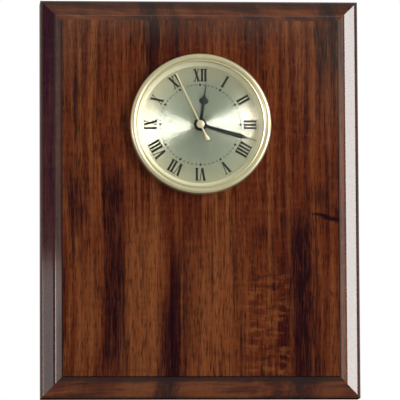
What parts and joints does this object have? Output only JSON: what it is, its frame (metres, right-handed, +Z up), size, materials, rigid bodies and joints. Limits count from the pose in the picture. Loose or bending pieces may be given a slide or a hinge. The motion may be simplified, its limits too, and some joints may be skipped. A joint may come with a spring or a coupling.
{
  "type": "desk clock",
  "caption": "Upright walnut plaque with a moulded edge and a push-in round quartz clock with gold bezel, spun dial, roman numerals and spade hands, and a geared movement inside",
  "frame": {"origin": "middle of the board's underside, halfway through its thickness", "axes": "+Z up the board, +X to the right and -Y out of the dial, as seen by someone reading the clock"},
  "size_m": [0.2032, 0.031, 0.254],
  "materials": {
    "walnut": "satin lacquer over vertical grain",
    "gold_metal": "polished pale gold plate",
    "crystal": "clear flat crystal",
    "dial_metal": "spun champagne silver",
    "black_paint": "satin black",
    "black_plastic": "fine matt",
    "band_plastic": "soft matt",
    "plate_plastic": "moulded, natural",
    "gear_plastic": "moulded, ivory",
    "gear_brass": "stamped",
    "steel": "plain",
    "magnet": "sintered",
    "copper": "enamelled wire",
    "circuit": "solder mask",
    "cell_wrap": "plain printed sleeve, no text"
  },
  "bodies": {
    "plaque": {"plaque_board": "walnut"},
    "insert": {"bezel": "gold_metal", "lens": "crystal", "dial_ring": "gold_metal", "dial": "dial_metal", "case_cup": "black_plastic", "friction_band": "band_plastic", "movement_plate": "plate_plastic", "train_bridge": "plate_plastic", "movement_cover": "plate_plastic", "cover_screws": "steel", "stator": "steel", "coil_core": "steel", "coil_bobbin": "plate_plastic", "coil_winding": "copper", "circuit_board": "circuit", "quartz_can": "steel", "driver_chip": "black_plastic", "battery": "cell_wrap", "positive_contact": "steel", "negative_contact": "steel"},
    "seconds": {"seconds_wheel": "gear_plastic", "second_hand": "gold_metal"},
    "minutes": {"cannon_pinion": "gear_brass", "centre_wheel": "gear_brass", "minute_hand": "black_paint"},
    "hours": {"hour_wheel": "gear_plastic", "hour_hand": "black_paint"},
    "third": {"third_wheel": "gear_plastic"},
    "setting": {"minute_wheel": "gear_plastic", "setting_knob": "black_plastic"},
    "intermediate": {"intermediate_wheel": "gear_plastic"},
    "rotor": {"rotor_pinion": "gear_plastic", "rotor_magnet": "magnet"},
    "hatch": {"battery_door": "black_plastic"}
  },
  "joints": [
    {"name": "insert_pull", "type": "slide", "parent": "plaque", "child": "insert", "axis": [0, -1, 0], "range_m": [0, 0.03]},
    {"name": "second_hand_turn", "type": "hinge", "parent": "insert", "child": "seconds", "pos_m": [0, -0.0127, 0.174], "axis": [0, 1, 0], "continuous": true},
    {"name": "minute_hand_turn", "type": "hinge", "parent": "insert", "child": "minutes", "pos_m": [0, -0.0127, 0.174], "axis": [0, 1, 0], "continuous": true},
    {"name": "hour_hand_turn", "type": "hinge", "parent": "insert", "child": "hours", "pos_m": [0, -0.0127, 0.174], "axis": [0, 1, 0], "continuous": true},
    {"name": "third_wheel_turn", "type": "hinge", "parent": "insert", "child": "third", "pos_m": [-0.009, -0.0127, 0.174], "axis": [0, 1, 0], "continuous": true},
    {"name": "setting_knob_turn", "type": "hinge", "parent": "insert", "child": "setting", "pos_m": [0.0096, -0.0127, 0.174], "axis": [0, 1, 0], "continuous": true},
    {"name": "intermediate_wheel_turn", "type": "hinge", "parent": "insert", "child": "intermediate", "pos_m": [-0.00246, -0.0127, 0.18077], "axis": [0, 1, 0], "continuous": true},
    {"name": "rotor_turn", "type": "hinge", "parent": "insert", "child": "rotor", "pos_m": [0.00104, -0.0127, 0.18683], "axis": [0, 1, 0], "continuous": true},
    {"name": "hatch_lift", "type": "slide", "parent": "insert", "child": "hatch", "axis": [0, 1, 0], "range_m": [0, 0.015]}
  ],
  "couplings": [
    {"joint": "minute_hand_turn", "follows": "second_hand_turn", "ratio": 0.016667},
    {"joint": "hour_hand_turn", "follows": "second_hand_turn", "ratio": 0.0013889},
    {"joint": "third_wheel_turn", "follows": "second_hand_turn", "ratio": -0.13333},
    {"joint": "setting_knob_turn", "follows": "second_hand_turn", "ratio": -0.0055556},
    {"joint": "intermediate_wheel_turn", "follows": "second_hand_turn", "ratio": -5},
    {"joint": "rotor_turn", "follows": "second_hand_turn", "ratio": 30}
  ]
}
